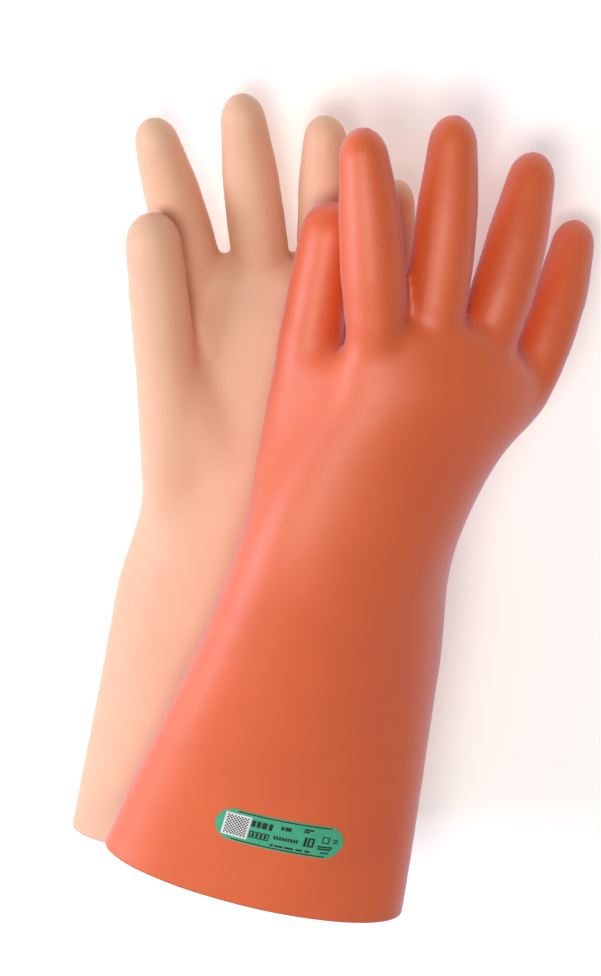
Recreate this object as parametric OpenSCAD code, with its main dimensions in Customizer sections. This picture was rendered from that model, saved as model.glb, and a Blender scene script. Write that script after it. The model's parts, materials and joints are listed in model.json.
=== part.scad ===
// A pair of insulating rubber gloves with long gauntlets, at rest on a table.
// The left glove lies on its back and the right glove lies across it, palm down.
// Millimetres. The fingers point along +Y, the table is z = 0 and +Z is up.
// Each glove is drawn as a right hand, back of the hand up, thumb towards -X.

/* [Gauntlet] */
// Width of the open cuff
cuff_w = 137; // [110:1:175]
// Height of the right cuff, which keeps its round section
cuff_h = 54; // [44:1:80]
// Height of the left cuff, which the upper glove presses down
pressed_cuff_h = 47; // [36:1:62]
// Distance from the cuff edge to the wrist
gauntlet_len = 170; // [130:1:280]
// Width of the wrist
wrist_w = 99; // [74:1:108]
// Height of the wrist
wrist_h = 58; // [44:1:72]

/* [Hand] */
// Distance from the wrist to the knuckle line
palm_len = 102; // [76:1:116]
// Height of the palm at its fullest
palm_h = 48; // [38:1:58]
// Height of the hand at the knuckle line
knuckle_h = 32; // [30:1:44]
// Gap between neighbouring stalls where they leave the hand
web_gap = 1.5; // [1:0.5:5]
// Distance that the little finger's knuckle lies behind the middle finger's
knuckle_arc = 13; // [6:1:18]

/* [Stalls] */
// Diameters of the index, middle, ring and little stalls
stall_d = [26, 26, 26, 23]; // [20:0.5:32]
// Lengths of the index, middle, ring and little stalls beyond the knuckle line
stall_len = [82, 89, 83, 66]; // [60:1:120]
// Diameter of the thumb stall
thumb_d = 28; // [23:0.5:34]
// Length of the thumb stall from inside the ball of the thumb
thumb_len = 150; // [115:1:178]

/* [Rubber] */
// Thickness of the outer ply
outer_ply = 1.3; // [0.9:0.1:1.8]
// Thickness of the inner ply
inner_ply = 1.7; // [1:0.1:2.2]

/* [Label] */
// Length of the label along the cuff
label_w = 57; // [40:1:70]
// Width of the label
label_h = 16; // [12:0.5:24]
// Distance from the cuff edge to the label
label_inset = 29; // [8:1:40]
// Side of the code panel on the label
panel_w = 11.5; // [8:0.5:12]
// Depth to which the label is let into the outer ply
label_t = 0.5; // [0.3:0.1:0.8]

/* [Lay] */
// Turn of the right glove, fingers towards +X
right_turn = 15; // [8:1:20]
// Turn of the left glove, fingers towards +X
left_turn = 4; // [0:1:6]
// Clearance between the gloves where one carries the other
rest_gap = 0.6; // [0.4:0.1:2]
// Roll of the right hand at its wrist, thumb side up
right_roll = 22; // [14:1:26]

/* [Hidden] */

RIGHT = 0;
LEFT = 1;
INDEX = 0;
MIDDLE = 1;
RING = 2;
LITTLE = 3;

outer_colour = ["#EC6C3C", "#F1B99E"];
inner_colour = ["#F1B99E", "#EC6C3C"];
label_colour = "#46AF7D";
panel_colour = "#F4F4F0";

// Segments round the body and round a stall, and rings along them
body_sides = 30;
stall_sides = 14;
body_rings = 11;
stall_rings = 5;
dome_steps = [28, 56, 80];
cut = 2;            // how far a cutting shape runs past the face it cuts
label_x = 4;        // the label stands this far towards the little finger
panel_margin = 3.5; // from the label's end to the code panel

// How each glove lies, as [right, left]
press = [1, pressed_cuff_h / cuff_h];            // share of its full height
fullness = [1, 0.93];                            // how full the stalls stand
hand_roll = [right_roll, 0];
hand_sway = [-3, -9];                            // sideways lean of the hand, towards +X
waist = [0, 10];                                 // how far the thumb side of the wrist stands in
spread = [[-15, -5, 6, 15], [-18, -10, -5, -1]]; // heading of each stall, from +Y to +X
dip = [[3, 3, 4, 6], [2, 2, 1, 1]];              // slope of each stall where it leaves the hand
curl = [[16, 20, 24, 34], [12, 10, 9, 10]];      // bend of each stall towards the palm
thumb_side = [-0.3, -0.215];                     // start of the thumb, as a share of the wrist
thumb_heading = [-1, -8];
thumb_dip = [20, 15];
thumb_curl = [-14, -10];

// The left glove's back is pressed flat on the table at this height
seat_press = 2;
seat_z = [1000, pressed_cuff_h / 2 - seat_press];

// The hand
wrist_y = gauntlet_len;
knuckle_y = wrist_y + palm_len;
palm_w = stall_d[0] + stall_d[1] + stall_d[2] + stall_d[3] + 3 * web_gap;
palm_left = -0.28 * palm_w;    // the palm stands out towards the little finger
palm_right = palm_left + palm_w;
palm_edge = 0.52 * wrist_w;    // where the palm's little finger side sets out from
stall_x = [
    palm_left + stall_d[0] / 2,
    palm_left + stall_d[0] + web_gap + stall_d[1] / 2,
    palm_right - stall_d[3] - web_gap - stall_d[2] / 2,
    palm_right - stall_d[3] / 2
];
stall_z = 2;            // the stalls leave the hand a little above its middle
stall_root = 20;        // how far behind the knuckle line a stall starts, inside the hand
root_share = 0.6;       // share of a stall's radius where it starts
tip_share = 0.95;       // share of a stall's radius at its tip
thumb_root = 108;       // how far behind the knuckle line the thumb stall starts, inside the hand
thumb_nest = 23.5;      // how far the thumb stall starts above one that lies under the index stall
thumb_ball = 36.4;      // width of the thumb stall where it starts, for the ball of the thumb
ball_share = 0.5;       // share of the thumb stall that the ball of the thumb takes up
thumb_sway = 0.6;       // share of the hand's lean that reaches the thumb
thumb_seam = 8;         // the gauntlet ends this far before the thumb stall starts
waist_run = 50;         // length over which the wrist's thumb side stands in, each way
knuckle_seam = 22;      // the palm ends this far before the knuckle line, clear of the thumb
knuckle_dome = 14;      // how far the hand runs on past the knuckle line between the stalls
flat_end = 0.1;         // share of the hand's last section that stays flat

// Sections of the body: [y, thumb side, little finger side, palm side, back]
body_stations = [
    [0, -cuff_w / 2, cuff_w / 2, -cuff_h / 2, cuff_h / 2],
    [wrist_y * 0.35, -mix(cuff_w, wrist_w, 0.4) / 2, mix(cuff_w, wrist_w, 0.4) / 2,
        -mix(cuff_h, wrist_h, 0.4) / 2, mix(cuff_h, wrist_h, 0.4) / 2],
    [wrist_y * 0.7, -mix(cuff_w, wrist_w, 0.76) / 2, mix(cuff_w, wrist_w, 0.74) / 2,
        -mix(cuff_h, wrist_h, 0.8) / 2, mix(cuff_h, wrist_h, 0.8) / 2],
    [wrist_y, -0.51 * wrist_w, 0.48 * wrist_w, -wrist_h / 2, wrist_h / 2],
    [wrist_y + palm_len * 0.45, -0.4 * wrist_w, mix(palm_edge, palm_right, 0.3),
        -0.5 * palm_h, 0.52 * palm_h],
    [wrist_y + palm_len * 0.8, palm_left - 1, mix(palm_edge, palm_right, 0.8),
        -0.46 * palm_h, 0.5 * palm_h],
    [knuckle_y, palm_left, palm_right, -0.5 * knuckle_h, 0.5 * knuckle_h]
];

thumb_y = knuckle_y - thumb_root;
thumb_z = stall_z - (thumb_d + stall_d[INDEX]) / 2 + thumb_nest;

function mix(a, b, t) = a + (b - a) * t;
function ease(t) = let (u = min(max(t, 0), 1)) u * u * (3 - 2 * u);

// A smooth curve through the stations, with t from 0 to the last station's number
function through(p, t) =
    let (i = min(floor(t), len(p) - 2), u = t - i)
    let (a = p[max(i - 1, 0)], b = p[i], c = p[i + 1], d = p[min(i + 2, len(p) - 1)])
    0.5 * (2 * b + (c - a) * u + (2 * a - 5 * b + 4 * c - d) * u * u
        + (3 * b - a - 3 * c + d) * u * u * u);

// How far a knuckle lies behind the middle finger's
function arch(x) = knuckle_arc * pow((x - stall_x[MIDDLE]) / (stall_x[LITTLE] - stall_x[MIDDLE]), 2);

// A point of the body: knuckles arched, hand rolled at the wrist, back pressed on the table
function settle(glove, p, inset) =
    let (
        back = arch(p[0]) * pow(ease((p[1] - wrist_y) / palm_len), 2),
        roll = hand_roll[glove] * ease(p[1] / wrist_y),
        z = min(p[2] * press[glove], seat_z[glove] - inset)
    )
    [p[0] * cos(roll) + z * sin(roll) + hand_sway[glove] * ease((p[1] - 0.7 * wrist_y) / palm_len),
        p[1] - back, z * cos(roll) - p[0] * sin(roll)];

function body_ring(glove, s, y, share, inset) =
    let (
        left = s[1] + waist[glove] * (1 - ease(abs(y - wrist_y) / waist_run)),
        a = (s[2] - left) / 2, b = (s[4] - s[3]) / 2, x = (left + s[2]) / 2, z = (s[3] + s[4]) / 2,
        thin = inset / press[glove]
    )
    [for (k = [0 : body_sides - 1]) let (q = 360 * k / body_sides)
        settle(glove, [x + (a * share - inset) * cos(q), y, z + (b * share - thin) * sin(q)], inset)];

// Rings of the body from the cuff to the end of the hand, inset from the outer face
function body_rings_at(glove, inset) =
    let (last = len(body_stations) - 1, start = body_stations[0], end = body_stations[last])
    [
        if (inset > 0) body_ring(glove, start, -cut, 1, inset),
        for (i = [0 : body_rings]) let (s = through(body_stations, last * i / body_rings))
            body_ring(glove, s, s[0], 1, inset),
        for (q = dome_steps)
            body_ring(glove, end, knuckle_y + (knuckle_dome - inset) * sin(q),
                mix(cos(q), 1, flat_end), inset)
    ];

// A point on a stall's centreline, which bends evenly in an upright plane
function stall_point(root, heading, slope, bend, length, s) =
    let (
        radius = length * 180 / (bend * PI), now = slope + bend * s / length,
        along = radius * (sin(now) - sin(slope)), down = radius * (cos(slope) - cos(now))
    )
    root + [sin(heading) * along, cos(heading) * along, -down];

function stall_ring(root, heading, slope, bend, length, s, r) =
    let (
        centre = stall_point(root, heading, slope, bend, length, s), now = slope + bend * s / length,
        side = [cos(heading), -sin(heading), 0],
        up = [sin(heading) * sin(now), cos(heading) * sin(now), cos(now)]
    )
    [for (k = [0 : stall_sides - 1]) let (q = 360 * k / stall_sides)
        centre + r * (cos(q) * side + sin(q) * up)];

// Rings of a stall: start_share of its radius inside the hand, full after root_len, a round tip
function stall_rings_at(root, heading, slope, bend, length, r, start_share, root_len, inset) =
    let (tip_r = tip_share * r, straight = length - tip_r)
    [
        for (i = [0 : stall_rings]) let (s = straight * i / stall_rings)
            stall_ring(root, heading, slope, bend, length, s,
                r * mix(start_share, 1, ease(s / root_len))
                    * mix(1, tip_share, ease(s / straight)) - inset),
        for (q = dome_steps)
            stall_ring(root, heading, slope, bend, length, straight + (tip_r - inset) * sin(q),
                (tip_r - inset) * cos(q))
    ];

// Rolls and sways a stall with its hand
function with_hand(glove, rings, sway) =
    let (c = cos(hand_roll[glove]), d = sin(hand_roll[glove]))
    [for (ring = rings) [for (p = ring) [p[0] * c + p[2] * d + sway, p[1], p[2] * c - p[0] * d]]];

function finger_rings(glove, finger, inset) =
    let (
        x = stall_x[finger], heading = spread[glove][finger],
        root = [x - stall_root * sin(heading), knuckle_y - arch(x) - stall_root * cos(heading), stall_z]
    )
    with_hand(glove, stall_rings_at(root, heading, dip[glove][finger], curl[glove][finger],
        stall_root + stall_len[finger], fullness[glove] * stall_d[finger] / 2,
        root_share, stall_root, inset), hand_sway[glove]);

function thumb_rings(glove, inset) =
    let (root = [thumb_side[glove] * wrist_w, thumb_y, thumb_z])
    with_hand(glove, stall_rings_at(root, thumb_heading[glove], thumb_dip[glove], thumb_curl[glove],
        thumb_len, fullness[glove] * thumb_d / 2, thumb_ball / thumb_d, ball_share * thumb_len, inset),
        thumb_sway * hand_sway[glove]);

// Where the gloves lie: the left one about the middle of its flat back, the right one
// as low as its cuff and its thumb allow
function lowest(rings) = min([for (ring = rings, p = ring) p[2]]);

seat_share = 0.75;     // share of the gauntlet from its cuff to the middle of that flat
right_ahead = [16, 8]; // how far the right cuff lies ahead of the left one
seat_y = seat_share * gauntlet_len;
left_cuff = [-seat_y * sin(left_turn), -seat_y * cos(left_turn)];
cuff_carries = seat_z[LEFT] + pressed_cuff_h / 2 + cuff_h / 2;
thumb_carries = seat_z[LEFT] - lowest(finger_rings(LEFT, RING, 0)) - lowest(thumb_rings(RIGHT, 0));
right_z = max(cuff_carries, thumb_carries) + rest_gap;

// A closed solid through rings of points, with flat ends
module loft(rings) {
    n = len(rings[0]);
    m = len(rings);
    sides = [for (i = [0 : m - 2], k = [0 : n - 1])
        let (a = i * n + k, b = i * n + (k + 1) % n) each [[a, b, a + n], [b, b + n, a + n]]];
    first = [for (k = [n - 1 : -1 : 0]) k];
    last = [for (k = [0 : n - 1]) (m - 1) * n + k];
    polyhedron([for (r = rings) each r], [first, each sides, last]);
}

// Keeps a sub-part as one closed mesh
module one_mesh() {
    resize([0, 0, 0]) children();
}

module body_form(glove, inset) {
    loft(body_rings_at(glove, inset));
}

module finger_form(glove, finger, inset) {
    loft(finger_rings(glove, finger, inset));
}

module thumb_form(glove, inset) {
    loft(thumb_rings(glove, inset));
}

// All the hollow or all the outside of a glove, at a depth below its outer face
module glove_form(glove, inset) {
    body_form(glove, inset);
    thumb_form(glove, inset);
    for (finger = [INDEX : LITTLE]) finger_form(glove, finger, inset);
}

// A block that fills everything before a seam
module before(y) {
    translate([-cuff_w, y - knuckle_y, -cuff_w]) cube([2 * cuff_w, knuckle_y, 2 * cuff_w]);
}

// Puts a glove in its place on the table
module lay(glove) {
    if (glove == LEFT)
        rotate([0, 0, -left_turn]) translate([0, -seat_y, seat_z[LEFT]]) mirror([0, 0, 1]) children();
    else
        translate([left_cuff[0] + right_ahead[0], left_cuff[1] + right_ahead[1], right_z])
            rotate([0, 0, -right_turn]) children();
}

// The space inside an upright outline, down to the bottom of the label
module let_in(glove) {
    difference() {
        translate([label_x, label_inset + label_h / 2, 0]) children();
        body_form(glove, label_t);
    }
}

module label_outline() {
    linear_extrude(cuff_h) hull()
        for (s = [-1, 1]) translate([s * (label_w - label_h) / 2, 0]) circle(label_h / 2, $fn = 32);
}

module panel_outline() {
    translate([(panel_w - label_w) / 2 + panel_margin, 0, cuff_h / 2])
        cube([panel_w, panel_w, cuff_h + cut], center = true);
}

module gauntlet(glove) {
    color(outer_colour[glove]) lay(glove) one_mesh() difference() {
        intersection() {
            body_form(glove, 0);
            before(thumb_y - thumb_seam);
        }
        body_form(glove, outer_ply);
        let_in(glove) label_outline();
    }
}

module palm(glove) {
    color(outer_colour[glove]) lay(glove) one_mesh() difference() {
        intersection() {
            body_form(glove, 0);
            before(knuckle_y - knuckle_seam);
        }
        glove_form(glove, outer_ply);
        before(thumb_y - thumb_seam);
    }
}

module knuckles(glove) {
    color(outer_colour[glove]) lay(glove) one_mesh() difference() {
        body_form(glove, 0);
        glove_form(glove, outer_ply);
        before(knuckle_y - knuckle_seam);
    }
}

module finger_stall(glove, finger) {
    color(outer_colour[glove]) lay(glove) one_mesh() difference() {
        finger_form(glove, finger, 0);
        finger_form(glove, finger, outer_ply);
        body_form(glove, 0);
    }
}

module thumb_stall(glove) {
    color(outer_colour[glove]) lay(glove) one_mesh() difference() {
        thumb_form(glove, 0);
        thumb_form(glove, outer_ply);
        body_form(glove, 0);
    }
}

module lining(glove) {
    color(inner_colour[glove]) lay(glove) one_mesh() difference() {
        glove_form(glove, outer_ply);
        glove_form(glove, outer_ply + inner_ply);
        before(0);
    }
}

module label(glove) {
    color(label_colour) lay(glove) one_mesh() intersection() {
        body_form(glove, 0);
        let_in(glove) difference() {
            label_outline();
            panel_outline();
        }
    }
}

module code_panel(glove) {
    color(panel_colour) lay(glove) one_mesh() intersection() {
        body_form(glove, 0);
        let_in(glove) panel_outline();
    }
}

gauntlet(RIGHT);  // right_gauntlet
palm(RIGHT);  // right_palm
knuckles(RIGHT);  // right_knuckles
thumb_stall(RIGHT);  // right_thumb
finger_stall(RIGHT, INDEX);  // right_index_finger
finger_stall(RIGHT, MIDDLE);  // right_middle_finger
finger_stall(RIGHT, RING);  // right_ring_finger
finger_stall(RIGHT, LITTLE);  // right_little_finger
lining(RIGHT);  // right_lining
label(RIGHT);  // right_label
code_panel(RIGHT);  // right_code_panel
gauntlet(LEFT);  // left_gauntlet
palm(LEFT);  // left_palm
knuckles(LEFT);  // left_knuckles
thumb_stall(LEFT);  // left_thumb
finger_stall(LEFT, INDEX);  // left_index_finger
finger_stall(LEFT, MIDDLE);  // left_middle_finger
finger_stall(LEFT, RING);  // left_ring_finger
finger_stall(LEFT, LITTLE);  // left_little_finger
lining(LEFT);  // left_lining
label(LEFT);  // left_label
code_panel(LEFT);  // left_code_panel
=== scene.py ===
import json
import math
import bmesh
import bpy
from mathutils import Matrix, Vector

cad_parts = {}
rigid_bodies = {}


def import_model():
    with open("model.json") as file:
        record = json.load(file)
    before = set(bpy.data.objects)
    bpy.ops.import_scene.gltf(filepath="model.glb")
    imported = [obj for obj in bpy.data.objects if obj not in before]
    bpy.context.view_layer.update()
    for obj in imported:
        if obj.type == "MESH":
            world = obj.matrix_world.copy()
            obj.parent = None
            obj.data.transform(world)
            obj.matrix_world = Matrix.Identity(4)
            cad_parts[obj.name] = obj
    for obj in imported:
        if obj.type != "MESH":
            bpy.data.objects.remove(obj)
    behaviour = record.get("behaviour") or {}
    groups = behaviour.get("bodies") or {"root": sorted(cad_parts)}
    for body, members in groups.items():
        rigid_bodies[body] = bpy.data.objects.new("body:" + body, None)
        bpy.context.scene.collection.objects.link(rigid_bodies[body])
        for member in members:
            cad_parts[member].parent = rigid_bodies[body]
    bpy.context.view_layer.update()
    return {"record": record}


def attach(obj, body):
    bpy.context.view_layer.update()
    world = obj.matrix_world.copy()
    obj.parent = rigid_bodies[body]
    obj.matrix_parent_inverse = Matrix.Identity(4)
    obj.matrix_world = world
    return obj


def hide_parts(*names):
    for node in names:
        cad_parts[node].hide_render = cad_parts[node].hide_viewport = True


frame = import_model()
mounts = {mount["name"]: mount for mount in frame["record"]["mounts"]}
mm = 0.001

# Both gloves are modelled as a right hand, back of the hand up, thumb towards -X, cuff at Y = 0,
# and laid in place at the end. Sizes are in millimetres, angles in degrees.

rubber = {
    "outerPly": 1.3,
    "innerPly": 1.65,
    "between": 0.05,       # play between the plies
    "voxel": 1.7,          # grid on which the forms are melted together
    "blend": 9,            # rounds of smoothing all over
    "webBlend": 90,        # rounds of smoothing where a glove's own list asks for it
    "soften": 0.5,         # how far each round goes
    "wave": 0.7,           # height of the slight waves in the dipped surface
    "waveScale": 0.045}
waves = bpy.data.textures.new("waves", type="CLOUDS")
waves.noise_scale = rubber["waveScale"]

# how a stall swells from its root to its tip, as (share of its length, radius)
fingerSwell = [(0, 9), (0.2, 12.6), (0.5, 13.5), (0.78, 12.7), (1, 10.4)]
littleSwell = [(0, 8), (0.24, 11.2), (0.55, 11.9), (0.78, 11.3), (1, 9.4)]

# press: share of its full height; table: height at which the back is pressed flat
# roll, sway: turn and sideways lean of the hand; fullness: how full the stalls stand
# waist: how far the wrist's thumb side stands in; arch: how far the little knuckle lies back
# dome: how far the hand runs on between the stalls; smooth: (weight, from, to, thumb side of)
# stalls: at or root is the start, heading goes towards +X, slope and bend go towards the palm
rightGlove = {
    "side": "right", "press": 1.0, "table": 1000, "roll": 22, "sway": -3, "fullness": 1.0,
    "waist": 0, "arch": 22, "dome": 8,
    "smooth": [(0.22, 240, 284, 99), (0.4, 236, 272, -8), (0.7, 238, 268, -14),
               (0.3, 130, 256, 99), (0.6, 140, 250, 99), (1, 150, 243, 99)],
    "thumb": {"name": "thumb", "root": (-29.7, 164, -1.4), "heading": -1.5, "slope": 20.5, "bend": -14,
              "length": 150, "point": 1.15,
              "swell": [(0, 18.2), (0.25, 16.8), (0.5, 14.4), (0.75, 13.6), (1, 12.2)]},
    "web": {"name": "web", "root": (-27, 160, 0), "heading": 1, "slope": 9, "bend": -2,
            "length": 96, "point": 1, "swell": [(0, 17), (0.4, 17), (0.7, 15), (1, 12)]},
    "fingers": [
        {"name": "index", "at": -16.5, "heading": -14, "slope": 3, "bend": 16, "curve": -3,
         "length": 109, "point": 1.3, "swell": fingerSwell},
        {"name": "middle", "at": 8, "heading": -4, "slope": 3, "bend": 20,
         "length": 110, "point": 1.3, "swell": fingerSwell},
        {"name": "ring", "at": 35, "heading": 8, "slope": 4, "bend": 24, "curve": 1,
         "length": 103, "point": 1.3, "swell": fingerSwell},
        {"name": "little", "at": 62.5, "heading": 14, "slope": 6, "bend": 34, "curve": 4,
         "length": 93, "point": 1.3, "swell": littleSwell}]}

leftGlove = {
    "side": "left", "press": 47 / 54, "table": 21.5, "roll": 0, "sway": -9, "fullness": 0.93,
    "waist": 10, "arch": 13, "dome": 14,
    "smooth": [(0.22, 240, 284, 99), (0.3, 130, 246, 99), (0.6, 140, 240, 99), (1, 150, 232, 99)],
    "thumb": {"name": "thumb", "root": (-21.3, 164, -1.4), "heading": -8, "slope": 15, "bend": -10,
              "length": 150, "point": 1.15,
              "swell": [(0, 18.2), (0.2, 17.4), (0.45, 15.6), (0.6, 14.4), (0.8, 14), (1, 12.6)]},
    "web": {"name": "web", "root": (0, 176, -3), "heading": -24, "slope": 9, "bend": 0,
            "length": 84, "point": 1, "swell": [(0, 16), (0.4, 18.5), (0.7, 16.5), (1, 12)]},
    "fingers": [
        {"name": "index", "at": -16.54, "heading": -17.5, "slope": 2, "bend": 12,
         "length": 102, "point": 1.3, "swell": fingerSwell},
        {"name": "middle", "at": 10.96, "heading": -10, "slope": 2, "bend": 10,
         "length": 109, "point": 1.3, "swell": fingerSwell},
        {"name": "ring", "at": 38.46, "heading": -5, "slope": 1, "bend": 9,
         "length": 103, "point": 1.3, "swell": fingerSwell},
        {"name": "little", "at": 64.46, "heading": -1, "slope": 1, "bend": 10,
         "length": 86, "point": 1.3, "swell": littleSwell}]}


def mix(a, b, t):
    return a + (b - a) * t


def ease(t):
    u = min(max(t, 0), 1)
    return u * u * (3 - 2 * u)


def through(points, t):
    # smooth curve through the points, t counted in points
    i = min(int(t), len(points) - 2)
    u = t - i
    before, a, b, after = (points[min(max(i + k, 0), len(points) - 1)] for k in (-1, 0, 1, 2))
    return [0.5 * (2 * q + (r - p) * u + (2 * p - 5 * q + 4 * r - s) * u * u
                   + (3 * q - p - 3 * r + s) * u ** 3)
            for p, q, r, s in zip(before, a, b, after)]


def along(profile, t):
    # value of a profile of (share, value) pairs, straight between the pairs
    for (a, va), (b, vb) in zip(profile, profile[1:]):
        if t <= b:
            return mix(va, vb, (t - a) / (b - a))
    return profile[-1][1]


# working tools

def objectMode():
    if bpy.context.object and bpy.context.object.mode != "OBJECT":
        bpy.ops.object.mode_set(mode="OBJECT")


def deselect():
    objectMode()
    bpy.ops.object.select_all(action="DESELECT")


def work(piece):
    deselect()
    piece.select_set(True)
    bpy.context.view_layer.objects.active = piece


def edit(piece):
    work(piece)
    bpy.ops.object.mode_set(mode="EDIT")


def editAll(piece):
    edit(piece)
    bpy.ops.mesh.select_all(action="SELECT")


def pick(piece, test):
    # selects the vertices whose place passes the test
    bpy.ops.mesh.select_mode(type="VERT")
    bpy.ops.mesh.select_all(action="DESELECT")
    mesh = bmesh.from_edit_mesh(piece.data)
    for vert in mesh.verts:
        if test(vert.co):
            vert.select = True
    mesh.select_flush_mode()
    bmesh.update_edit_mesh(piece.data)


def apply(piece, kind, **settings):
    work(piece)
    bpy.ops.object.modifier_add(type=kind)
    modifier = piece.modifiers[-1]
    for key, value in settings.items():
        setattr(modifier, key, value)
    bpy.ops.object.modifier_apply(modifier=modifier.name)


def bakeTransform():
    bpy.ops.object.transform_apply(location=True, rotation=True, scale=True)


def place(piece, matrix):
    work(piece)
    piece.matrix_world = matrix @ piece.matrix_world
    bakeTransform()


def rename(piece, name):
    piece.name = name
    piece.data.name = name


def join(pieces, name):
    deselect()
    for piece in pieces:
        piece.select_set(True)
    bpy.context.view_layer.objects.active = pieces[0]
    bpy.ops.object.join()
    whole = bpy.context.object
    rename(whole, name)
    return whole


def turn(angle, axis, centre):
    # without a window a positive value turns the other way
    if abs(angle) > 1e-6:
        bpy.ops.transform.rotate(value=-angle, orient_axis=axis, orient_type="GLOBAL",
                                 center_override=centre)


def addRing(name, sides, radius):
    # a filled circle that faces along Y, selected in edit mode and ready to be drawn out
    deselect()
    bpy.ops.mesh.primitive_circle_add(vertices=sides, radius=radius, fill_type="NGON",
                                      rotation=(math.pi / 2, 0, 0))
    ring = bpy.context.object
    ring.name = name
    bakeTransform()
    editAll(ring)
    return ring


def drawOut(move, scale, centre):
    bpy.ops.mesh.extrude_region_move(TRANSFORM_OT_translate={"value": move})
    bpy.ops.transform.resize(value=scale, center_override=centre)


# gauntlet and hand: one circle drawn out ring by ring, then rolled and arched

cuff = {"width": 137, "height": 54, "length": 170, "run": 6}
wrist = {"width": 99, "height": 58, "standIn": 50}
palm = {"length": 102, "height": 48, "knuckleHeight": 32, "left": -29.54, "right": 74,
        "middleKnuckle": 10.96, "toLittleKnuckle": 53.5}
bodyRings = {"sides": 48, "count": 24, "endAngles": (20, 40, 58, 74), "flatEnd": 0.1, "near": 0.0002}


def knuckleBack(glove, across):
    # how far a knuckle lies behind the middle finger's
    return glove["arch"] * ((across - palm["middleKnuckle"]) / palm["toLittleKnuckle"]) ** 2


def bodyShapes(glove):
    # every ring of the body as middle x, y, middle z, half width, half height
    w, h, y = cuff["width"], cuff["height"], cuff["length"]
    ww, wh, pl, ph = wrist["width"], wrist["height"], palm["length"], palm["height"]
    left, right, edge = palm["left"], palm["right"], wrist["width"] * 0.52
    halfKnuckle = 0.5 * palm["knuckleHeight"]
    stations = [
        # distance, thumb side, little finger side, palm side, back
        (0, -w / 2, w / 2, -h / 2, h / 2),
        (y * 0.35, -mix(w, ww, 0.4) / 2, mix(w, ww, 0.4) / 2, -mix(h, wh, 0.4) / 2, mix(h, wh, 0.4) / 2),
        (y * 0.7, -mix(w, ww, 0.76) / 2, mix(w, ww, 0.74) / 2, -mix(h, wh, 0.8) / 2, mix(h, wh, 0.8) / 2),
        (y, -0.51 * ww, 0.48 * ww, -wh / 2, wh / 2),
        (y + pl * 0.45, -0.4 * ww, mix(edge, right, 0.18), -0.5 * ph, 0.52 * ph),
        (y + pl * 0.8, left - 1, mix(edge, right, 0.66), -0.46 * ph, 0.5 * ph),
        (y + pl, left, right, -halfKnuckle, halfKnuckle)]
    count = bodyRings["count"]
    rings = [through(stations, (len(stations) - 1) * k / count) for k in range(count + 1)]
    for ring in rings:
        ring[1] += glove["waist"] * (1 - ease(abs(ring[0] - y) / wrist["standIn"]))
    rings.insert(0, [-cuff["run"]] + list(rings[0][1:]))
    shapes = [((r[1] + r[2]) / 2, r[0], (r[3] + r[4]) / 2, (r[2] - r[1]) / 2, (r[4] - r[3]) / 2)
              for r in rings]
    x, yEnd, z, a, b = shapes[-1]
    for angle in bodyRings["endAngles"]:
        share = mix(math.cos(math.radians(angle)), 1, bodyRings["flatEnd"])
        shapes.append((x, yEnd + glove["dome"] * math.sin(math.radians(angle)), z, a * share, b * share))
    return [(x, y, z * glove["press"], a, b * glove["press"]) for x, y, z, a, b in shapes]


def archKnuckles(body, glove, shapes):
    # the knuckles stand back towards the little finger, column by column
    roll = math.radians(glove["roll"])
    columns = bodyRings["sides"] // 2
    for x, y, z, a, b in shapes:
        share = ease((y - cuff["length"]) / palm["length"]) ** 2
        if share < 0.01:
            continue
        for k in range(columns + 1):
            across = x - a * math.cos(math.pi * k / columns)
            back = knuckleBack(glove, across) * share

            def inColumn(co):
                flat = (co.x - glove["sway"] * mm) * math.cos(roll) - co.z * math.sin(roll)
                return abs(co.y - y * mm) < bodyRings["near"] and abs(flat - across * mm) < 0.0003
            pick(body, inColumn)
            bpy.ops.transform.translate(value=(0, -back * mm, 0))


def makeBody(glove):
    shapes = bodyShapes(glove)
    x, y, z, a, b = shapes[0]
    body = addRing("body", bodyRings["sides"], 1)
    bpy.ops.transform.resize(value=(a * mm, 1, b * mm), center_override=(0, 0, 0))
    bpy.ops.transform.translate(value=Vector((x, y, z)) * mm)
    for old, new in zip(shapes, shapes[1:]):
        move = Vector(new[:3]) - Vector(old[:3])
        drawOut(move * mm, (new[3] / old[3], 1, new[4] / old[4]), Vector(new[:3]) * mm)
    # the table presses the back flat
    table = glove["table"] * mm
    pick(body, lambda co: co.z > table)
    bpy.ops.transform.resize(value=(1, 1, 0), center_override=(0, 0, table))
    # each ring rolls with the hand and leans with it
    for x, y, z, a, b in shapes:
        pick(body, lambda co: abs(co.y - y * mm) < bodyRings["near"])
        turn(math.radians(glove["roll"] * ease(y / cuff["length"])), "Y", (0, y * mm, 0))
        lean = glove["sway"] * ease((y - 0.7 * cuff["length"]) / palm["length"])
        bpy.ops.transform.translate(value=(lean * mm, 0, 0))
    archKnuckles(body, glove, shapes)
    objectMode()
    return body


# stalls: a circle drawn out along a bending centreline, then set in the hand

stall = {
    "sides": 32,
    "rings": 12,
    "tipAngles": (0, 20, 38, 54, 68, 80),
    "drawnBack": 20,       # a finger stall starts this far behind its knuckle, inside the hand
    "rise": 2,             # and this far above the middle of the hand
    "thumbSway": 0.6}      # share of the hand's lean that reaches the thumb


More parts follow.
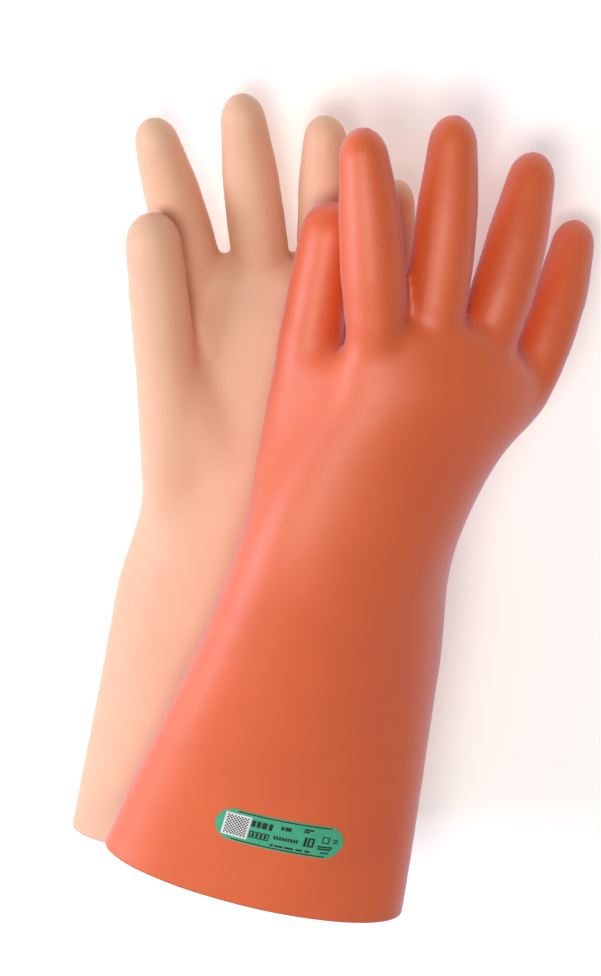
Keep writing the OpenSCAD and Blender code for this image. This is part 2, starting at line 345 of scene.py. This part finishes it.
def makeStall(spec, glove):
    rings = stall["rings"]
    tip = along(spec["swell"], 1) * glove["fullness"]
    point = tip * spec["point"]
    step = (spec["length"] - point) / rings
    radius = spec["swell"][0][1] * glove["fullness"]
    made = addRing(spec["name"], stall["sides"], radius * mm)
    stations = [(step, along(spec["swell"], (k + 1) / rings) * glove["fullness"]) for k in range(rings)]
    angles = [math.radians(angle) for angle in stall["tipAngles"]]
    stations += [(point * (math.sin(b) - math.sin(a)), tip * math.cos(b)) for a, b in zip(angles, angles[1:])]
    bend = math.radians(spec["bend"])
    curve = math.radians(spec.get("curve", 0))
    centre = Vector((0, 0, 0))
    run = 0
    for length, size in stations:
        middle = (run + length / 2) / spec["length"]
        down, aside = bend * middle, curve * middle
        move = Vector((math.sin(aside) * math.cos(down), math.cos(aside) * math.cos(down), -math.sin(down)))
        move *= length * mm
        centre += move
        run += length
        bpy.ops.mesh.extrude_region_move(TRANSFORM_OT_translate={"value": move})
        turn(-bend * length / spec["length"], "X", centre)
        turn(-curve * length / spec["length"], "Z", centre)
        bpy.ops.transform.resize(value=(size / radius,) * 3, center_override=centre)
        radius = size
    objectMode()
    place(made, stallPlace(spec, glove))
    return made


def stallPlace(spec, glove):
    heading = math.radians(spec["heading"])
    if "at" in spec:
        knuckle = cuff["length"] + palm["length"] - knuckleBack(glove, spec["at"])
        root = Vector((spec["at"] - stall["drawnBack"] * math.sin(heading),
                       knuckle - stall["drawnBack"] * math.cos(heading), stall["rise"]))
        sway = glove["sway"]
    else:
        root = Vector(spec["root"])
        sway = glove["sway"] * stall["thumbSway"]
    return (Matrix.Translation((sway * mm, 0, 0)) @ Matrix.Rotation(math.radians(glove["roll"]), 4, "Y")
            @ Matrix.Translation(root * mm) @ Matrix.Rotation(-heading, 4, "Z")
            @ Matrix.Rotation(-math.radians(spec["slope"]), 4, "X"))


# the skin: body and stalls melted together, smoothed and cut open at the cuff

def keepMain(skin):
    # bubbles between the joined forms go, the island that reaches the cuff stays
    edit(skin)
    pick(skin, lambda co: co.y < (1 - cuff["run"]) * mm)
    bpy.ops.mesh.select_linked()
    bpy.ops.mesh.select_all(action="INVERT")
    bpy.ops.mesh.delete(type="VERT")
    objectMode()


def smoothWebs(skin, glove):
    # the webs between the stalls are worked smooth, less and less towards their ends
    work(skin)
    bpy.ops.object.vertex_group_add()
    group = skin.vertex_groups.active.name
    for weight, start, end, limit in glove["smooth"]:
        bpy.context.scene.tool_settings.vertex_group_weight = weight
        edit(skin)
        pick(skin, lambda co: start * mm <= co.y <= end * mm and co.x < limit * mm)
        bpy.ops.object.vertex_group_assign()
        objectMode()
    apply(skin, "SMOOTH", factor=rubber["soften"], iterations=rubber["webBlend"], vertex_group=group)


def makeSkin(glove):
    parts = [makeBody(glove), makeStall(glove["thumb"], glove), makeStall(glove["web"], glove)]
    parts += [makeStall(finger, glove) for finger in glove["fingers"]]
    for part in parts:
        editAll(part)
        bpy.ops.mesh.normals_make_consistent(inside=False)
        objectMode()
    skin = join(parts, glove["side"] + "_skin")
    apply(skin, "REMESH", mode="VOXEL", voxel_size=rubber["voxel"] * mm, use_smooth_shade=True)
    apply(skin, "SMOOTH", factor=rubber["soften"], iterations=rubber["blend"])
    keepMain(skin)
    smoothWebs(skin, glove)
    apply(skin, "DISPLACE", texture=waves, texture_coords="LOCAL", strength=rubber["wave"] * mm,
          mid_level=0.5)
    editAll(skin)
    bpy.ops.mesh.bisect(plane_co=(0, 0, 0), plane_no=(0, 1, 0), clear_inner=True)
    objectMode()
    print(skin.name, "modelled")
    return skin


# the label: a film with round ends, a panel with a plain check, and bars for the print

label = {
    "centre": (1.5, 39),   # towards the little finger, from the cuff edge
    "length": 57, "width": 16, "film": 0.2, "filmAbove": 0.15,
    "panel": 11.5, "panelAt": -19.25, "panelFilm": 0.08, "panelAbove": 0.2,
    "narrowest": 0.1,      # share of the width left at the very ends
    "over": 0.045}         # metres above the hand from which the flat shapes drop
grid = {"along": 0.6, "across": 1.5}
marking = {
    "ink": 0.12, "above": 0.24,
    # x, y from the label's centre, length, height
    "bars": [
        (-12.2, 3.0, 1.7, 3.2), (-9.9, 3.0, 1.7, 3.2), (-7.4, 3.0, 2.2, 3.2), (-4.6, 3.0, 1.6, 3.2),
        (0.6, 3.7, 1.2, 1.8), (3.1, 3.7, 2.8, 1.8), (12.2, 5.0, 4.2, 0.9), (11.4, 3.9, 2.6, 0.7),
        (-8.6, -3.9, 8.8, 0.5), (-8.6, -1.0, 8.8, 0.5), (-12.75, -2.45, 0.5, 2.3), (-4.45, -2.45, 0.5, 2.3),
        (-11.3, -2.45, 1.1, 2.0), (-9.5, -2.45, 1.1, 2.0), (-7.7, -2.45, 1.1, 2.0), (-5.9, -2.45, 1.1, 2.0),
        (11.9, -1.0, 1.2, 4.6), (13.4, -1.0, 0.9, 4.6), (15.4, -1.0, 0.9, 4.6), (14.4, 0.9, 1.0, 0.8),
        (14.4, -2.9, 1.0, 0.8), (20.6, 2.6, 3.2, 0.5), (20.6, -0.2, 3.2, 0.5), (19.25, 1.2, 0.5, 2.2),
        (21.95, 1.2, 0.5, 2.2), (25.0, 1.6, 2.0, 0.6), (25.0, 0.4, 2.0, 0.6), (20.9, -2.2, 6.6, 0.8),
        (20.9, -3.4, 6.0, 0.8), (21.4, -5.2, 3.8, 0.7), (-2.2, -5.6, 1.4, 0.9), (1.0, -5.6, 3.6, 0.9),
        (5.6, -5.6, 4.0, 0.9), (10.2, -5.6, 3.0, 0.9), (13.8, -5.6, 2.2, 0.9),
        (1.0, 7.15, 42, 0.55), (1.0, -7.15, 42, 0.55)],
    "serial": {"first": (-1.8, -1.6), "size": (0.9, 1.7), "pitch": 1.25, "count": 9},
    "check": {"square": 0.75, "count": 7, "clear": 0.04}}


def plate(x, y, length, width):
    # a flat grid over the cuff, at x, y from the label's centre
    columns = max(2, int(length / grid["along"]) + 1)
    rows = max(2, int(width / grid["across"]) + 1)
    deselect()
    bpy.ops.mesh.primitive_grid_add(x_subdivisions=columns, y_subdivisions=rows, size=1,
                                    location=((label["centre"][0] + x) * mm, (label["centre"][1] + y) * mm,
                                              label["over"]))
    made = bpy.context.object
    made.scale = (length * mm, width * mm, 1)
    bakeTransform()
    return made


def repeat(piece, count, step):
    apply(piece, "ARRAY", count=count, use_relative_offset=False, use_constant_offset=True,
          constant_offset_displace=step)


def lieOn(piece, skin, above, thickness, name):
    # the flat shape drops on to the rubber and takes its curve
    apply(piece, "SHRINKWRAP", target=skin, wrap_method="PROJECT", use_project_z=True,
          use_negative_direction=True, use_positive_direction=False, offset=above * mm)
    apply(piece, "SOLIDIFY", thickness=thickness * mm, offset=-1)
    rename(piece, name)
    return piece


def makeFilm(skin, name):
    film = plate(0, 0, label["length"], label["width"])
    edit(film)
    half, end = label["length"] / 2, label["width"] / 2
    middle = (label["centre"][0], label["centre"][1] * mm)
    columns = sorted({round(v.co.x, 6) for v in bmesh.from_edit_mesh(film.data).verts})
    for at in columns:
        over = abs(at / mm - middle[0]) - (half - end)
        if over > 0:
            share = max(label["narrowest"], math.sqrt(max(0, 1 - (over / end) ** 2)))
            pick(film, lambda co: abs(co.x - at) < 0.00001)
            bpy.ops.transform.resize(value=(1, share, 1), center_override=(at, middle[1], label["over"]))
    objectMode()
    return lieOn(film, skin, label["filmAbove"], label["film"], name)


def makePanel(skin, name):
    flat = plate(label["panelAt"], 0, label["panel"], label["panel"])
    return lieOn(flat, skin, label["panelAbove"], label["panelFilm"], name)


def makePrint(skin, name):
    serial, check = marking["serial"], marking["check"]
    bars = [plate(*bar) for bar in marking["bars"]]
    row = plate(*serial["first"], *serial["size"])
    repeat(row, serial["count"], (serial["pitch"] * mm, 0, 0))
    bars.append(row)
    side = check["square"]
    size = side - check["clear"]
    for count, shift in ((check["count"], 0), (check["count"] - 1, side)):
        corner = shift - side * (check["count"] - 1)
        squares = plate(label["panelAt"] + corner, corner, size, size)
        repeat(squares, count, (2 * side * mm, 0, 0))
        repeat(squares, count, (0, 2 * side * mm, 0))
        bars.append(squares)
    return lieOn(join(bars, name), skin, marking["above"], marking["ink"], name)


# materials

def material(name):
    made = bpy.data.materials.new(name)
    made.use_nodes = True
    nodes = made.node_tree.nodes
    return made, nodes, made.node_tree.links, nodes["Principled BSDF"]


def addNoise(nodes, links, coords, scale, detail):
    noise = nodes.new("ShaderNodeTexNoise")
    noise.inputs["Scale"].default_value = scale
    noise.inputs["Detail"].default_value = detail
    links.new(coords.outputs["Object"], noise.inputs["Vector"])
    return noise


def addRamp(nodes, stops):
    ramp = nodes.new("ShaderNodeValToRGB")
    for element, (position, colour) in zip(ramp.color_ramp.elements, stops):
        element.position = position
        element.color = (*colour, 1)
    return ramp


rubberLooks = {
    "orangeRubber": {
        "dark": (0.74, 0.105, 0.012), "light": (0.80, 0.122, 0.016), "roughness": 0.5, "specular": 1.0,
        "sheen": 0.5, "sheenRoughness": 0.4, "sheenTint": (0.45, 0.6, 1.0)},
    "naturalRubber": {
        "dark": (0.80, 0.46, 0.30), "light": (0.85, 0.50, 0.33), "roughness": 0.5, "specular": 0.4,
        "sheen": 0.1, "sheenRoughness": 0.4, "sheenTint": (1.0, 0.95, 0.95)}}
rubberGrain = {"cloudScale": 18, "grainScale": 1400, "strength": 0.08, "depth": 0.0002}


def rubberMaterial(name):
    look = rubberLooks[name]
    made, nodes, links, shader = material(name)
    coords = nodes.new("ShaderNodeTexCoord")
    cloud = addNoise(nodes, links, coords, rubberGrain["cloudScale"], 4)
    grain = addNoise(nodes, links, coords, rubberGrain["grainScale"], 2)
    ramp = addRamp(nodes, [(0.35, look["dark"]), (0.65, look["light"])])
    bump = nodes.new("ShaderNodeBump")
    bump.inputs["Strength"].default_value = rubberGrain["strength"]
    bump.inputs["Distance"].default_value = rubberGrain["depth"]
    gloss = nodes.new("ShaderNodeMapRange")
    gloss.inputs["To Min"].default_value = look["roughness"] - 0.03
    gloss.inputs["To Max"].default_value = look["roughness"] + 0.04
    links.new(cloud.outputs["Fac"], ramp.inputs["Fac"])
    links.new(ramp.outputs["Color"], shader.inputs["Base Color"])
    links.new(cloud.outputs["Fac"], gloss.inputs["Value"])
    links.new(gloss.outputs["Result"], shader.inputs["Roughness"])
    links.new(grain.outputs["Fac"], bump.inputs["Height"])
    links.new(bump.outputs["Normal"], shader.inputs["Normal"])
    shader.inputs["Specular IOR Level"].default_value = look["specular"]
    shader.inputs["Sheen Weight"].default_value = look["sheen"]
    shader.inputs["Sheen Roughness"].default_value = look["sheenRoughness"]
    shader.inputs["Sheen Tint"].default_value = (*look["sheenTint"], 1)
    return made


filmLooks = {
    "greenFilm": {"colour": (0.065, 0.46, 0.25), "roughness": 0.4},
    "whiteFilm": {"colour": (0.85, 0.84, 0.82), "roughness": 0.45},
    "darkInk": {"colour": (0.02, 0.03, 0.026), "roughness": 0.5}}
speckle = {"scale": 300, "detail": 3, "shade": 0.85}


def filmMaterial(name):
    look = filmLooks[name]
    made, nodes, links, shader = material(name)
    coords = nodes.new("ShaderNodeTexCoord")
    noise = addNoise(nodes, links, coords, speckle["scale"], speckle["detail"])
    shaded = [value * speckle["shade"] for value in look["colour"]]
    ramp = addRamp(nodes, [(0.3, shaded), (0.7, look["colour"])])
    links.new(noise.outputs["Fac"], ramp.inputs["Fac"])
    links.new(ramp.outputs["Color"], shader.inputs["Base Color"])
    shader.inputs["Roughness"].default_value = look["roughness"]
    return made


orangeRubber = rubberMaterial("orangeRubber")
naturalRubber = rubberMaterial("naturalRubber")
greenFilm = filmMaterial("greenFilm")
whiteFilm = filmMaterial("whiteFilm")
darkInk = filmMaterial("darkInk")
print("materials made")

# the camera looks steeply down on the pair

viewpoint = {"aim": (0.0278, 0.0541, 0.0358), "distance": 1.5, "tilt": 25, "lens": 127.7, "sensor": 36}
tilt = math.radians(viewpoint["tilt"])
back = Vector((0, math.sin(tilt), math.cos(tilt))) * viewpoint["distance"]
bpy.ops.object.camera_add(location=Vector(viewpoint["aim"]) + back, rotation=(-tilt, 0, 0))
camera = bpy.context.object
camera.data.lens = viewpoint["lens"]
camera.data.sensor_width = viewpoint["sensor"]
camera.data.sensor_fit = "AUTO"
bpy.context.scene.camera = camera
bpy.context.scene.view_settings.view_transform = "Standard"
print("camera set")

# the gloves, each laid on its own cuff mount

outerNodes = ("gauntlet", "palm", "knuckles", "thumb", "index_finger", "middle_finger", "ring_finger",
              "little_finger")


def layOn(piece, lay, look, body):
    place(piece, lay)
    if lay.determinant() < 0:
        editAll(piece)
        bpy.ops.mesh.flip_normals()
        objectMode()
    piece.data.materials.clear()
    piece.data.materials.append(look)
    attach(piece, body)
    print(piece.name, len(piece.data.polygons), "faces")


for glove, outerLook, innerLook in ((rightGlove, orangeRubber, naturalRubber),
                                    (leftGlove, naturalRubber, orangeRubber)):
    side = glove["side"]
    body = side + "_glove"
    mount = mounts[side + "_cuff_opening"]
    outward = Vector(mount["axis"])
    lay = Matrix.Translation(mount["pos_m"]) @ Matrix.Rotation(math.atan2(outward.x, -outward.y), 4, "Z")
    if side == "left":
        lay = lay @ Matrix.Scale(-1, 4, (0, 0, 1))
    skin = makeSkin(glove)
    film = makeFilm(skin, side + "_label_film")
    panel = makePanel(skin, side + "_label_panel")
    marks = makePrint(skin, side + "_label_print")
    for piece, look, slot in ((film, greenFilm, "green_label"), (panel, whiteFilm, "white_panel"),
                              (marks, darkInk, "green_label")):
        layOn(piece, lay, look, body)
    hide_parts(side + "_label")
    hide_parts(side + "_code_panel")
    work(skin)
    bpy.ops.object.duplicate()
    inner = bpy.context.object
    rename(inner, side + "_inner_ply")
    apply(inner, "DISPLACE", strength=-(rubber["outerPly"] + rubber["between"]) * mm, mid_level=0)
    outer = skin
    rename(outer, side + "_outer_ply")
    for ply, thickness, look in ((outer, rubber["outerPly"], outerLook),
                                 (inner, rubber["innerPly"], innerLook)):
        apply(ply, "SOLIDIFY", thickness=thickness * mm, offset=-1, use_rim=True)
        layOn(ply, lay, look, body)
        work(ply)
        bpy.ops.object.shade_smooth()
    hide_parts(*[side + "_" + node for node in outerNodes])
    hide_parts(side + "_lining")

# floor and light

paper = {"size": 6, "below": 0.0003, "colour": (0.96, 0.96, 0.96), "roughness": 0.9, "glow": 0.3}
lamps = [
    {"name": "keyLight", "at": (-1.35, 0.05, 0.75), "size": 0.8, "power": 16, "colour": (0.76, 0.8, 1.0)},
    {"name": "topLight", "at": (-0.25, 0.3, 1.9), "size": 0.8, "power": 16, "colour": (1.0, 0.97, 0.9)}]
lampAim = Vector((0.03, 0.05, 0.05))
skyStrength = 0.31

deselect()
bpy.ops.mesh.primitive_plane_add(size=paper["size"], location=(0, 0, -paper["below"]))
floor = bpy.context.object
floor.name = "floor"
palePaper, nodes, links, shader = material("palePaper")
shader.inputs["Base Color"].default_value = (*paper["colour"], 1)
shader.inputs["Roughness"].default_value = paper["roughness"]
shader.inputs["Emission Color"].default_value = (1, 1, 1, 1)
shader.inputs["Emission Strength"].default_value = paper["glow"]
floor.data.materials.append(palePaper)

for lamp in lamps:
    bpy.ops.object.light_add(type="AREA", location=lamp["at"])
    light = bpy.context.object
    light.name = lamp["name"]
    light.data.shape = "SQUARE"
    light.data.size = lamp["size"]
    light.data.energy = lamp["power"]
    light.data.color = lamp["colour"]
    light.rotation_euler = (lampAim - light.location).to_track_quat("-Z", "Y").to_euler()

sky = bpy.data.worlds.new("studio")
bpy.context.scene.world = sky
sky.use_nodes = True
sky.node_tree.nodes["Background"].inputs["Color"].default_value = (1, 1, 1, 1)
sky.node_tree.nodes["Background"].inputs["Strength"].default_value = skyStrength
print("floor and lights set")
